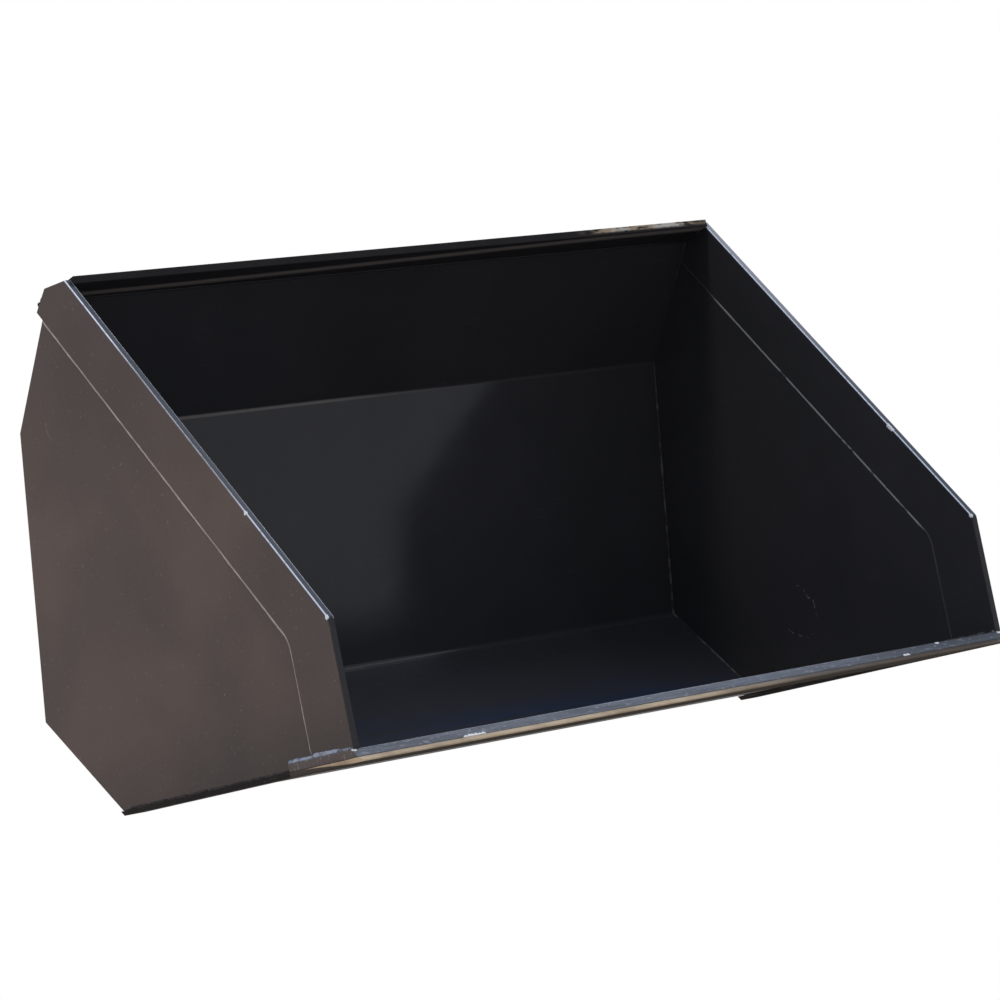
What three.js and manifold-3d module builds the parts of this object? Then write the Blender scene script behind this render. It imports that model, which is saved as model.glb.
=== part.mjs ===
// Skid steer bucket: a welded high-capacity bucket with a bevelled cutting edge, edge strips on its
// sides and a quick attach mount on its back. Millimetres, +X across the bucket, -Y out of its mouth,
// +Z up, resting on its runners.
import * as THREE from 'three';
import * as BufferGeometryUtils from 'three/addons/utils/BufferGeometryUtils.js';
import Module from 'manifold-3d';

const wasm = await Module();
wasm.setup();

// ---- Driving dimensions ----
const INCH = 25.4;
const WIDTH = 66 * INCH;
const WELD_GAP = 0.3; // clearance between plates that are welded together

// Side outline, measured from the heel corner at the bottom of the side plates
const FLOOR_LENGTH = 30 * INCH;
const FRONT_HEIGHT = 256;
const MOUTH_TOP = { y: -156, z: 1011 };
const HEEL = { y: 207, z: 203 };
const BACK_TOP = { y: 102, z: 762 };
const PLATE_TOP = { y: -91, z: 1011 };

// Plate thicknesses
const SHEET = 0.25 * INCH;
const SIDE_SHEET = 0.3125 * INCH;
const CUTTER = 0.5625 * INCH;
const BASE_EDGE = 0.625 * INCH;
const CUTTING_EDGE = 0.375 * INCH;
const RUNNER = CUTTING_EDGE;
const LIP_BAR = 0.625 * INCH;
const MOUNT_PLATE = 0.375 * INCH;
const RIB = 0.375 * INCH;

// Wrapper
const WRAPPER_LEDGE = 10; // how far the side plates stand proud of the wrapper
const BEND_RADIUS = 12;

// Side cutters
const CUTTER_SLOPE_WIDTH = 113;
const CUTTER_FRONT_WIDTH = 128;
const CUTTER_OUTER_RADIUS = 9;
const CUTTER_INNER_RADIUS = 60;
const CUTTER_TOP_REAR = { y: -83, z: 1011 };
const CUTTER_CHAMFER_END_Y = -42;

// Front edges
const EDGE_REAR_Y = -563;
const BASE_EDGE_TOP_Y = -760;
const BASE_EDGE_BEVEL = 13;
const CUTTING_EDGE_NOSE_Y = -790;
const CUTTING_EDGE_BEVEL = 13;
const NOSE_HEIGHT = 3.5;
const EDGE_OVERHANG = 3; // how far the edges reach out past the side cutters, as a ledge for the weld

// Lip bar along the top of the back
const LIP_WIDTH = 5.5 * INCH;
const LIP_TILT = THREE.MathUtils.degToRad(10);
const LIP_FRONT_TOP = { y: -167, z: 1016 };
const LIP_CORNER_RADIUS = 1.5;

// Runners under the side plates
const RUNNER_WIDTH = 2 * INCH;

// Quick attach mount, in the plane of the back panel
const MOUNT_WIDTH = 1130;
const MOUNT_LEDGE_HEIGHT = 70;
const MOUNT_HOOK_HEIGHT = MOUNT_LEDGE_HEIGHT + 400;
const RAIL_LEG_BOTTOM = 30;
const RAIL_LEG_TOP = 90;
const HOOK_LEG = 60;
const HOOK_DEPTH = 38;
const HOOK_THICK = 0.5 * INCH;
const LEDGE_DEPTH = 70;
const LEDGE_THICK = 0.5 * INCH;
const LEDGE_SLOPE = THREE.MathUtils.degToRad(15);
const SLOT_SPACING = 774;
const SLOT_LENGTH = 76;
const SLOT_WIDTH = 28;
const SLOT_FROM_PLATE = 38;
const END_PLATE_WAIST = 22; // how far the end plates stand out between the rails
const END_PLATE_SHOULDER = 14; // how far they reach past the rails
const END_WAIST_RADIUS = 20;
const END_CORNER_RADIUS = 6;

// Ribs above the mount and gussets below it
const RIB_POSITIONS = [-520, -190, 190, 520];
const RIB_STAND = 30;
const GUSSET_DEPTH = 55;
const GUSSET_REACH = 140;
const GUSSET_SNIP = 12; // corner cut off the gusset where it ends on the heel
const GUSSET_LIP = 14;
const RIB_BEND_RADIUS = 40;
const RIB_HOLLOW_RADIUS = 60;
const RIB_HOLLOW_SHARE = 0.3; // how far below the lip bar the rib starts to widen
const RIB_END_SETBACK = 4;

// ---- Heights that follow from the stack of plates ----
const SIDE_BOTTOM = RUNNER + WELD_GAP;
const BASE_EDGE_TOP = SIDE_BOTTOM + BASE_EDGE;
const CUTTER_BOTTOM = BASE_EDGE_TOP + WELD_GAP;
const HALF_WIDTH = WIDTH / 2;
const INNER_HALF = HALF_WIDTH - CUTTER;

// ---- Materials ----
const blackPaint = { color: 0x15161a, roughness: 0.28, metalness: 0.0 };
const rearPaint = { color: 0x191a1e, roughness: 0.42, metalness: 0.0 };
const wornSteel = { color: 0x8d8579, roughness: 0.5, metalness: 0.6 };

// ---- Outline tools: a point is (y, z) held in a Vector2 ----
function point(y, z) {
  return new THREE.Vector2(y, z);
}

function sidePoint({ y, z }) {
  return point(y, z + SIDE_BOTTOM);
}

function crossing(a, b, c, d) {
  const ab = b.clone().sub(a);
  const cd = d.clone().sub(c);
  const share = c.clone().sub(a).cross(cd) / ab.cross(cd);
  return a.clone().addScaledVector(ab, share);
}

// A line moved to its left, seen along its direction
function leftOf([a, b], distance) {
  const along = b.clone().sub(a).normalize();
  const left = point(-along.y, along.x).multiplyScalar(distance);
  return [a.clone().add(left), b.clone().add(left)];
}

function corner(at, radius = 0) {
  return { at, radius };
}

// A closed outline whose corners are rounded by arcs
function outline(corners) {
  const shape = new THREE.Shape();
  const count = corners.length;
  corners.forEach(({ at, radius }, index) => {
    const before = corners[(index + count - 1) % count].at;
    const after = corners[(index + 1) % count].at;
    const back = before.clone().sub(at).normalize();
    const ahead = after.clone().sub(at).normalize();
    const halfAngle = back.angleTo(ahead) / 2;
    const enter = at.clone().addScaledVector(back, radius / Math.tan(halfAngle));
    const leave = at.clone().addScaledVector(ahead, radius / Math.tan(halfAngle));
    if (index === 0) {
      shape.moveTo(enter.x, enter.y);
    } else {
      shape.lineTo(enter.x, enter.y);
    }
    if (radius > 0) {
      const middle = back.clone().add(ahead).normalize();
      const centre = at.clone().addScaledVector(middle, radius / Math.sin(halfAngle));
      const start = enter.clone().sub(centre).angle();
      const end = leave.clone().sub(centre).angle();
      shape.absarc(centre.x, centre.y, radius, start, end, back.cross(ahead) > 0);
    }
  });
  shape.closePath();
  return shape;
}

// An outline in the Y-Z plane, made into a plate that is thick along X
function plateGeometry(shape, thickness) {
  const settings = { depth: thickness, bevelEnabled: false, curveSegments: 5 };
  const geometry = new THREE.ExtrudeGeometry(shape, settings);
  const alongY = new THREE.Vector3(0, 1, 0);
  const alongZ = new THREE.Vector3(0, 0, 1);
  const alongX = new THREE.Vector3(1, 0, 0);
  return geometry.applyMatrix4(new THREE.Matrix4().makeBasis(alongY, alongZ, alongX));
}

function addPlate(parent, name, shape, fromX, toX, look) {
  const material = new THREE.MeshStandardMaterial(look);
  const mesh = new THREE.Mesh(plateGeometry(shape, toX - fromX), material);
  mesh.name = name;
  mesh.position.x = fromX;
  parent.add(mesh);
  return mesh;
}

// ---- Cutting with manifold-3d ----
function solidOf(geometry) {
  const bare = geometry.clone();
  bare.deleteAttribute('normal');
  bare.deleteAttribute('uv');
  const welded = BufferGeometryUtils.mergeVertices(bare, 1e-4);
  const mesh = new wasm.Mesh({
    numProp: 3,
    vertProperties: new Float32Array(welded.attributes.position.array),
    triVerts: new Uint32Array(welded.index.array),
  });
  return new wasm.Manifold(mesh);
}

function geometryOf(solid) {
  const mesh = solid.getMesh();
  const geometry = new THREE.BufferGeometry();
  const positions = [];
  for (let vertex = 0; vertex < mesh.numVert; vertex += 1) {
    const start = vertex * mesh.numProp;
    positions.push(...mesh.vertProperties.slice(start, start + 3));
  }
  geometry.setAttribute('position', new THREE.Float32BufferAttribute(positions, 3));
  geometry.setIndex([...mesh.triVerts]);
  geometry.computeVertexNormals();
  return geometry;
}

// ---- Lines that the parts share, all running rearward along the floor and then up the back ----
const heelCorner = point(0, SIDE_BOTTOM);
const floorLine = [point(-FLOOR_LENGTH, SIDE_BOTTOM), heelCorner];
const heelLine = [heelCorner, sidePoint(HEEL)];
const backLine = [sidePoint(HEEL), sidePoint(BACK_TOP)];
const upperLine = [sidePoint(BACK_TOP), sidePoint(PLATE_TOP)];
const slopeLine = [sidePoint(MOUTH_TOP), point(-FLOOR_LENGTH, SIDE_BOTTOM + FRONT_HEIGHT)];

const lipAlong = point(Math.cos(LIP_TILT), -Math.sin(LIP_TILT));
const lipDown = point(-Math.sin(LIP_TILT), -Math.cos(LIP_TILT));
const lipFrontTop = sidePoint(LIP_FRONT_TOP);
const lipRearTop = lipFrontTop.clone().addScaledVector(lipAlong, LIP_WIDTH);
const lipFrontBottom = lipFrontTop.clone().addScaledVector(lipDown, LIP_BAR);
const lipRearBottom = lipRearTop.clone().addScaledVector(lipDown, LIP_BAR);
const lipUnderside = leftOf([lipRearBottom, lipFrontBottom], WELD_GAP);

const cutterSlope = leftOf(slopeLine, CUTTER_SLOPE_WIDTH);
const cutterFrontY = -FLOOR_LENGTH + CUTTER_FRONT_WIDTH;
const cutterFront = [point(cutterFrontY, SIDE_BOTTOM + FRONT_HEIGHT), point(cutterFrontY, CUTTER_BOTTOM)];

// ---- Shell ----
function addWrapper(parent) {
  const floorFront = EDGE_REAR_Y + WELD_GAP;
  const skin = (inset, floorInset) => {
    const floor = leftOf(floorLine, floorInset);
    const heel = leftOf(heelLine, inset);
    const back = leftOf(backLine, inset);
    const upper = leftOf(upperLine, inset);
    return [
      point(floorFront, floor[0].y),
      crossing(...floor, ...heel),
      crossing(...heel, ...back),
      crossing(...back, ...upper),
      crossing(...upper, ...lipUnderside),
    ];
  };
  const bends = (points, radius) => points.map((at, index) => {
    const isBend = index > 0 && index < points.length - 1;
    return corner(at, isBend ? radius : 0);
  });
  const outside = bends(skin(WRAPPER_LEDGE, 0), BEND_RADIUS + SHEET);
  const inside = bends(skin(WRAPPER_LEDGE + SHEET, SHEET), BEND_RADIUS);
  const shape = outline([...outside, ...inside.reverse()]);
  const half = INNER_HALF - WELD_GAP;
  addPlate(parent, 'wrapper', shape, -half, half, blackPaint);
}

function addSidePlates(parent) {
  const seam = leftOf(cutterSlope, WELD_GAP);
  const seamFront = cutterFront.map((at) => point(at.x + WELD_GAP, at.y));
  const notchY = EDGE_REAR_Y + WELD_GAP;
  const shape = outline([
    corner(crossing(...seam, ...upperLine)),
    corner(crossing(...seam, ...seamFront), CUTTER_INNER_RADIUS),
    corner(seamFront[1]),
    corner(point(notchY, CUTTER_BOTTOM)),
    corner(point(notchY, SIDE_BOTTOM)),
    corner(heelCorner),
    corner(sidePoint(HEEL)),
    corner(sidePoint(BACK_TOP)),
  ]);
  addPlate(parent, 'side_plate_left', shape, -INNER_HALF - SIDE_SHEET, -INNER_HALF, blackPaint);
  addPlate(parent, 'side_plate_right', shape, INNER_HALF, INNER_HALF + SIDE_SHEET, blackPaint);
}

function addSideCutters(parent) {
  const topRear = sidePoint(CUTTER_TOP_REAR);
  const chamferLine = [point(CUTTER_CHAMFER_END_Y, 0), point(CUTTER_CHAMFER_END_Y, 1)];
  const shape = outline([
    corner(sidePoint(MOUTH_TOP)),
    corner(slopeLine[1], CUTTER_OUTER_RADIUS),
    corner(point(-FLOOR_LENGTH, CUTTER_BOTTOM)),
    corner(cutterFront[1]),
    corner(crossing(...cutterSlope, ...cutterFront), CUTTER_INNER_RADIUS),
    corner(crossing(...cutterSlope, ...chamferLine)),
    corner(topRear),
  ]);
  addPlate(parent, 'side_cutter_left', shape, -HALF_WIDTH, -INNER_HALF, blackPaint);
  addPlate(parent, 'side_cutter_right', shape, INNER_HALF, HALF_WIDTH, blackPaint);
}

function addLipBar(parent) {
  const points = [lipFrontTop, lipFrontBottom, lipRearBottom, lipRearTop];
  const shape = outline(points.map((at) => corner(at, LIP_CORNER_RADIUS)));
  const half = INNER_HALF - WELD_GAP;
  addPlate(parent, 'top_lip_bar', shape, -half, half, blackPaint);
}

// ---- Front edges and runners ----
function addFrontEdges(parent) {
  const half = HALF_WIDTH + EDGE_OVERHANG;
  const base = outline([
    corner(point(BASE_EDGE_TOP_Y, BASE_EDGE_TOP)),
    corner(point(BASE_EDGE_TOP_Y - BASE_EDGE_BEVEL, SIDE_BOTTOM)),
    corner(point(EDGE_REAR_Y, SIDE_BOTTOM)),
    corner(point(EDGE_REAR_Y, BASE_EDGE_TOP)),
  ]);
  addPlate(parent, 'base_edge', base, -half, half, blackPaint);
  const cutting = outline([
    corner(point(CUTTING_EDGE_NOSE_Y + CUTTING_EDGE_BEVEL, CUTTING_EDGE)),
    corner(point(CUTTING_EDGE_NOSE_Y, NOSE_HEIGHT)),
    corner(point(CUTTING_EDGE_NOSE_Y, 0)),
    corner(point(EDGE_REAR_Y, 0)),
    corner(point(EDGE_REAR_Y, CUTTING_EDGE)),
  ]);
  addPlate(parent, 'cutting_edge', cutting, -half, half, wornSteel);
}

function addRunners(parent) {
  const front = EDGE_REAR_Y + WELD_GAP;
  const shape = outline([
    corner(point(front, 0)),
    corner(point(-RUNNER, 0)),
    corner(point(0, RUNNER)),
    corner(point(front, RUNNER)),
  ]);
  const inner = HALF_WIDTH - RUNNER_WIDTH;
  addPlate(parent, 'side_runner_left', shape, -HALF_WIDTH, -inner, rearPaint);
  addPlate(parent, 'side_runner_right', shape, inner, HALF_WIDTH, rearPaint);
}

// ---- Quick attach mount: local y is out of the back panel and local z is up along it ----
const backRise = sidePoint(BACK_TOP).sub(sidePoint(HEEL));
const backLean = Math.atan2(-backRise.x, backRise.y);
const mountOrigin = sidePoint(HEEL);
const plateInner = -WRAPPER_LEDGE + WELD_GAP;
const plateOuter = plateInner + MOUNT_PLATE;

function toBucket(outward, upward) {
  return point(outward, upward).rotateAround(point(0, 0), backLean).add(mountOrigin);
}

function addMountPlate(mount) {
  const shape = outline([
    corner(point(plateInner, RAIL_LEG_TOP + WELD_GAP)),
    corner(point(plateOuter, RAIL_LEG_TOP + WELD_GAP)),
    corner(point(plateOuter, MOUNT_HOOK_HEIGHT - HOOK_LEG - WELD_GAP)),
    corner(point(plateInner, MOUNT_HOOK_HEIGHT - HOOK_LEG - WELD_GAP)),
  ]);
  addPlate(mount, 'quick_attach_plate', shape, -MOUNT_WIDTH / 2, MOUNT_WIDTH / 2, rearPaint);
}

function addTopRail(mount) {
  const tip = point(plateOuter + HOOK_DEPTH, MOUNT_HOOK_HEIGHT - HOOK_DEPTH);
  const back = tip.clone().addScalar(HOOK_THICK * Math.SQRT1_2);
  const crest = point(plateInner, back.y + back.x - plateInner);
  const shape = outline([
    corner(point(plateInner, MOUNT_HOOK_HEIGHT - HOOK_LEG)),
    corner(point(plateOuter, MOUNT_HOOK_HEIGHT - HOOK_LEG)),
    corner(point(plateOuter, MOUNT_HOOK_HEIGHT)),
    corner(tip),
    corner(back),
    corner(crest),
  ]);
  addPlate(mount, 'quick_attach_top_rail', shape, -MOUNT_WIDTH / 2, MOUNT_WIDTH / 2, rearPaint);
  return crest.y;
}

function ledgeTop(outward) {
  return MOUNT_LEDGE_HEIGHT - Math.tan(LEDGE_SLOPE) * (outward - plateOuter);
}

function ledgeUnder(outward) {
  return ledgeTop(outward) - LEDGE_THICK / Math.cos(LEDGE_SLOPE);
}

function addBottomRail(mount) {
  const shape = outline([
    corner(point(plateInner, RAIL_LEG_BOTTOM)),
    corner(point(plateOuter, RAIL_LEG_BOTTOM)),
    corner(point(plateOuter, ledgeUnder(plateOuter))),
    corner(point(LEDGE_DEPTH, ledgeUnder(LEDGE_DEPTH))),
    corner(point(LEDGE_DEPTH, ledgeTop(LEDGE_DEPTH))),
    corner(point(plateOuter, MOUNT_LEDGE_HEIGHT)),
    corner(point(plateOuter, RAIL_LEG_TOP)),
    corner(point(plateInner, RAIL_LEG_TOP)),
  ]);
  const half = MOUNT_WIDTH / 2;
  const rail = addPlate(mount, 'quick_attach_bottom_rail', shape, -half, half, rearPaint);
  let solid = solidOf(rail.geometry);
  for (const side of [-1, 1]) {
    const cutter = new THREE.BoxGeometry(SLOT_LENGTH, SLOT_WIDTH, 4 * LEDGE_THICK);
    cutter.rotateX(-LEDGE_SLOPE);
    const middleX = MOUNT_WIDTH / 2 + side * SLOT_SPACING / 2;
    cutter.translate(middleX, SLOT_FROM_PLATE, ledgeTop(SLOT_FROM_PLATE) - LEDGE_THICK / 2);
    solid = solid.subtract(solidOf(cutter));
  }
  rail.geometry = geometryOf(solid);
}

function addEndPlates(mount, crestHeight) {
  const shape = outline([
    corner(point(plateInner, RAIL_LEG_BOTTOM)),
    corner(point(LEDGE_DEPTH, RAIL_LEG_BOTTOM), END_CORNER_RADIUS),
    corner(point(LEDGE_DEPTH, ledgeTop(LEDGE_DEPTH) + END_PLATE_SHOULDER), END_CORNER_RADIUS),
    corner(point(END_PLATE_WAIST, MOUNT_LEDGE_HEIGHT + HOOK_LEG), END_WAIST_RADIUS),
    corner(point(END_PLATE_WAIST, MOUNT_HOOK_HEIGHT - HOOK_LEG - END_PLATE_WAIST), END_WAIST_RADIUS),
    corner(point(HOOK_DEPTH + END_PLATE_SHOULDER, MOUNT_HOOK_HEIGHT - HOOK_DEPTH), END_CORNER_RADIUS),
    corner(point(plateInner, crestHeight)),
  ]);
  const inner = MOUNT_WIDTH / 2 + WELD_GAP;
  addPlate(mount, 'quick_attach_end_left', shape, -inner - RIB, -inner, rearPaint);
  addPlate(mount, 'quick_attach_end_right', shape, inner, inner + RIB, rearPaint);
}

function addQuickAttach(parent) {
  const mount = new THREE.Group();
  mount.position.set(0, mountOrigin.x, mountOrigin.y);
  mount.rotation.x = backLean;
  addMountPlate(mount);
  const crestHeight = addTopRail(mount);
  addBottomRail(mount);
  addEndPlates(mount, crestHeight);
  parent.add(mount);
  return crestHeight;
}

// ---- Ribs from the mount up to the lip bar, and gussets from the mount down to the heel ----
function addBackRibs(parent, crestHeight) {
  const innerBack = leftOf(backLine, WRAPPER_LEDGE - WELD_GAP);
  const innerUpper = leftOf(upperLine, WRAPPER_LEDGE - WELD_GAP);
  const outerBack = leftOf(backLine, -RIB_STAND);
  const outerUpper = leftOf(upperLine, -RIB_STAND);
  const foot = crestHeight + 2 * WELD_GAP;
  const footOut = foot - (RIB_STAND - plateInner);
  const underBar = crossing(...innerUpper, ...lipUnderside);
  const ribEnd = lipRearBottom.clone().addScaledVector(lipAlong, -RIB_END_SETBACK);
  const barEnd = crossing(ribEnd, lipRearTop, ...lipUnderside);
  const shape = outline([
    corner(toBucket(plateInner, foot)),
    corner(toBucket(RIB_STAND, footOut)),
    corner(crossing(...outerBack, ...outerUpper), RIB_BEND_RADIUS),
    corner(outerUpper[1].clone().lerp(outerUpper[0], RIB_HOLLOW_SHARE), RIB_HOLLOW_RADIUS),
    corner(barEnd),
    corner(underBar),
    corner(crossing(...innerBack, ...innerUpper)),
  ]);
  RIB_POSITIONS.forEach((x, index) => {
    addPlate(parent, `back_rib_${index + 1}`, shape, x - RIB / 2, x + RIB / 2, rearPaint);
  });
}

function addHeelGussets(parent) {
  const innerHeel = leftOf(heelLine, WRAPPER_LEDGE - WELD_GAP);
  const innerBack = leftOf(backLine, WRAPPER_LEDGE - WELD_GAP);
  const heelBend = crossing(...innerHeel, ...innerBack);
  const downHeel = innerHeel[0].clone().sub(heelBend).normalize();
  const legEdge = plateOuter + WELD_GAP;
  const snip = point(-downHeel.y, downHeel.x).multiplyScalar(GUSSET_SNIP);
  const shape = outline([
    corner(toBucket(plateInner, RAIL_LEG_BOTTOM - WELD_GAP)),
    corner(heelBend),
    corner(heelBend.clone().addScaledVector(downHeel, GUSSET_REACH)),
    corner(heelBend.clone().addScaledVector(downHeel, GUSSET_REACH - GUSSET_SNIP).add(snip)),
    corner(toBucket(GUSSET_DEPTH, ledgeUnder(GUSSET_DEPTH) - GUSSET_LIP)),
    corner(toBucket(GUSSET_DEPTH, ledgeUnder(GUSSET_DEPTH) - 2 * WELD_GAP)),
    corner(toBucket(legEdge, ledgeUnder(legEdge) - 2 * WELD_GAP)),
    corner(toBucket(legEdge, RAIL_LEG_BOTTOM - WELD_GAP)),
  ]);
  RIB_POSITIONS.forEach((x, index) => {
    addPlate(parent, `heel_gusset_${index + 1}`, shape, x - RIB / 2, x + RIB / 2, rearPaint);
  });
}

// ---- Whole bucket, moved so that its origin is at the bottom centre of its box ----
const bucket = new THREE.Group();
addWrapper(bucket);
addSidePlates(bucket);
addSideCutters(bucket);
addLipBar(bucket);
addFrontEdges(bucket);
addRunners(bucket);
const crestHeight = addQuickAttach(bucket);
addBackRibs(bucket, crestHeight);
addHeelGussets(bucket);

const box = new THREE.Box3().setFromObject(bucket, true);
bucket.position.y = -(box.min.y + box.max.y) / 2;

export default bucket;
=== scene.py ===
# Looks of a skid steer bucket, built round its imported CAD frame. Metres, +X across the bucket,
# -Y out of its mouth, +Z up, with the floor at z = 0.
import math
import random

import bmesh
import bpy
from mathutils import Matrix, Vector, noise


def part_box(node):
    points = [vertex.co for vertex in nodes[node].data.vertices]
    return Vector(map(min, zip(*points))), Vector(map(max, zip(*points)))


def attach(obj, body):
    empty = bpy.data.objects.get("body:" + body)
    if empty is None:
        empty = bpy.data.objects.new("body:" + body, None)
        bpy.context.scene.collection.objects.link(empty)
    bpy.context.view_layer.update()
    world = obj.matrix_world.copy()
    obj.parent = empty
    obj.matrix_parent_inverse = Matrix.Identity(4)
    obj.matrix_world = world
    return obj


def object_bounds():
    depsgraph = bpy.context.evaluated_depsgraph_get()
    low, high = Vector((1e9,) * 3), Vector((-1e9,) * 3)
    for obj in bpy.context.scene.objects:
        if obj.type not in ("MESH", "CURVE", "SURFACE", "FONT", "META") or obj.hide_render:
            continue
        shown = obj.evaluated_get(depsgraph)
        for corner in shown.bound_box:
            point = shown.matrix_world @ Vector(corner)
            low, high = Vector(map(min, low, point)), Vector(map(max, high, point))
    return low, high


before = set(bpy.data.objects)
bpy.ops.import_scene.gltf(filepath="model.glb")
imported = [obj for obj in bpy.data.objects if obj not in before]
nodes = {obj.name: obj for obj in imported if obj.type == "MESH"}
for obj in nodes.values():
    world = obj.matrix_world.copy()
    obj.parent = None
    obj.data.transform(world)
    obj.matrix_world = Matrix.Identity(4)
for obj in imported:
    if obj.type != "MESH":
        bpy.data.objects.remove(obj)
cad_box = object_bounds()

MM = 0.001
RIGHT, REAR, UP = Vector((1, 0, 0)), Vector((0, 1, 0)), Vector((0, 0, 1))
SIDES = {"left": -1, "right": 1}
RIBS = [f"back_rib_{i}" for i in range(1, 5)]
GUSSETS = [f"heel_gusset_{i}" for i in range(1, 5)]
RUNNERS = ["side_runner_left", "side_runner_right"]
MOUNT_PLATES = ["quick_attach_plate", "quick_attach_top_rail", "quick_attach_bottom_rail"]


def rgb(*values):
    return (*values, 1.0)


# ---- Colours: where there are two, the surface wanders between them ----
ENAMEL = (rgb(0.0240, 0.0235, 0.0250), rgb(0.0290, 0.0280, 0.0310))
SIDE_TONES = (rgb(0.025, 0.0255, 0.0250), rgb(0.070, 0.051, 0.043))
RUNNER_TONES = (rgb(0.012, 0.011, 0.011), rgb(0.026, 0.022, 0.020))
# painted shade along the bottom of the outside faces
BOTTOM_SHADE = rgb(0.012, 0.011, 0.011)
# painted shade towards the top of the outside faces
TOP_SHADE = rgb(0.018, 0.019, 0.020)
# navy: painted blue sky light on the upward faces of the heel and floor inside
NAVY_SKY_LIGHT = rgb(0.014, 0.027, 0.064)
# a painted highlight along the wrapper's bends
BEND_HIGHLIGHT = rgb(0.20, 0.175, 0.155)
SPECK_DUST = rgb(0.42, 0.38, 0.34)
SCRATCH = rgb(0.20, 0.19, 0.18)
SCUFF = rgb(0.26, 0.25, 0.24)
BARE_STEEL = rgb(0.72, 0.71, 0.70)
# a pale blue painted highlight along the side cutters' slope arrises
ARRIS_HIGHLIGHT = rgb(0.64, 0.69, 0.80)
LIP_FRONT = (rgb(0.016, 0.014, 0.013), rgb(0.012, 0.011, 0.011))
LIP_WORN = (rgb(0.36, 0.27, 0.18), rgb(0.50, 0.46, 0.40))
LIP_UNDERSIDE = (rgb(0.022, 0.021, 0.022), rgb(0.165, 0.142, 0.130))
# the blue-grey is partly painted reflection of the sky
EDGE_ENAMEL_AND_SKY = (rgb(0.024, 0.025, 0.029), rgb(0.122, 0.130, 0.150))
EDGE_ENDS = (rgb(0.050, 0.040, 0.036), rgb(0.085, 0.070, 0.064))
EDGE_FLECK = rgb(0.42, 0.43, 0.46)
EDGE_CHIP = rgb(0.80, 0.79, 0.78)
NOSE_TANS = (rgb(0.54, 0.41, 0.27), rgb(0.38, 0.28, 0.18))
NOSE_PALE = rgb(0.60, 0.50, 0.38)
DARK_STEEL = rgb(0.058, 0.046, 0.038)
# the paler tone is a painted highlight along the seams
SEAM_WELD = (rgb(0.017, 0.017, 0.019), rgb(0.070, 0.067, 0.065))
BLACK_WELD = (rgb(0.016, 0.016, 0.019), rgb(0.060, 0.056, 0.054))
DULL_WELD = (rgb(0.014, 0.013, 0.012), rgb(0.036, 0.030, 0.027))
PALE_WELD = (rgb(0.34, 0.29, 0.26), rgb(0.46, 0.40, 0.36))
# the paler tone is a painted highlight along the cutters' inner seams
HIGHLIT_INNER_WELD = (rgb(0.026, 0.026, 0.028), rgb(0.20, 0.195, 0.19))
# the pale blue-grey is painted sky glints on the cutter foot
BLUE_GREY_WELD = (rgb(0.060, 0.072, 0.095), rgb(0.26, 0.30, 0.38))
FLOOR_TONES = (rgb(0.64, 0.590, 0.535), rgb(0.70, 0.650, 0.595))
SKY_TONES = (rgb(0.40, 0.39, 0.38), rgb(0.72, 0.84, 1.05))
WARM_CARD = rgb(1.04, 0.82, 0.75)
BACKDROP = rgb(1.0, 1.0, 1.0)

# ---- Where the wear and the painted light are ----
UPPER_BEND_Z = 0.763
LOWER_BEND_Z = 0.210
UPPER_CREASE = (5.0 * MM, 0.5)  # width and strength of the painted highlight along a bend
LOWER_CREASE = (6.0 * MM, 0.3)
CREASE_FADE = (-150 * MM, 250 * MM)  # the painted highlight along the bends thins out between these x
SCUFF_INSIDE = (0.062, 0.160)  # where a load rubbed the right side plate, as (y, z)
SCUFF_OUTSIDE = (0.215, 0.770)  # the same outside the left side plate
SCUFF_RADIUS = 52 * MM
LOW_SHADE_HEIGHTS = (20 * MM, 150 * MM)  # the painted shade along the bottom of the outside is darkest below the first, gone above the second
HIGH_SHADE_HEIGHTS = (0.55, 0.85)  # the painted shade towards the top of the outside is gone below the first, at over half strength above the second
STREAK_REACH = 130 * MM  # how far the painted navy sky light reaches up the heel
DULL_HEEL = (120 * MM, 210 * MM)  # above the floor: dull below the first, glossy above the second
HIGHLIGHT_TOP = (0.80, 0.90)  # heights over which the painted highlight on the left cutter's slope comes back at its top
HIGHLIGHT_FOOT = (0.46, 0.56)  # the same at its foot
HIGHLIGHT_MIDDLE = 0.40  # how much of the painted highlight is left between them
SHELL_BRIGHT = (-0.100, 0.745)  # heights between which the seams between shell and sides carry painted highlights
SEAM_BRIGHT = (0.270, 0.855)  # the same for the side cutters' inner seam
UNDERSIDE_BAND = (0.50, 0.17)  # share of the lip bar's underside in front of the brown band, left and right
LIP_WEAR = (0.54, 0.66, 0.92, 0.97)  # shares of the half width: the tan starts, is full, fades, has faded
NOSE_TAN_SPAN = (-0.15, 0.40)  # the same, where the cutting edge starts to lose its tan and has lost it
NOSE_DEPTH = (30 * MM, 75 * MM)  # how far back from its nose the tan is full, and where it ends
WEDGE_LENGTH = 205 * MM  # of the tan wedge on its ends
LEFT_CHIPS = (0.700, 0.995)  # shares of each side cutter's slope from its top
RIGHT_CHIPS = (0.700, 0.707, 0.714, 0.995)
TOP_CHIPS = (0.003, 0.888, 0.994)  # shares of the base edge from its left end
NOSE_CHIPS = (0.150, 0.155, 0.160, 0.165, 0.170, 0.175, 0.826, 0.831)

# ---- Camera: in front and to the left, a little below floor level, with the bucket leaning back ----
VIEW_TARGET = Vector((0.0170, -0.0120, 0.4771))
VIEW_DISTANCE = 8.695
VIEW_AZIMUTH = 39.799
VIEW_ELEVATION = -4.139
VIEW_ROLL = -11.424
VIEW_LENS = 156.24


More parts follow.
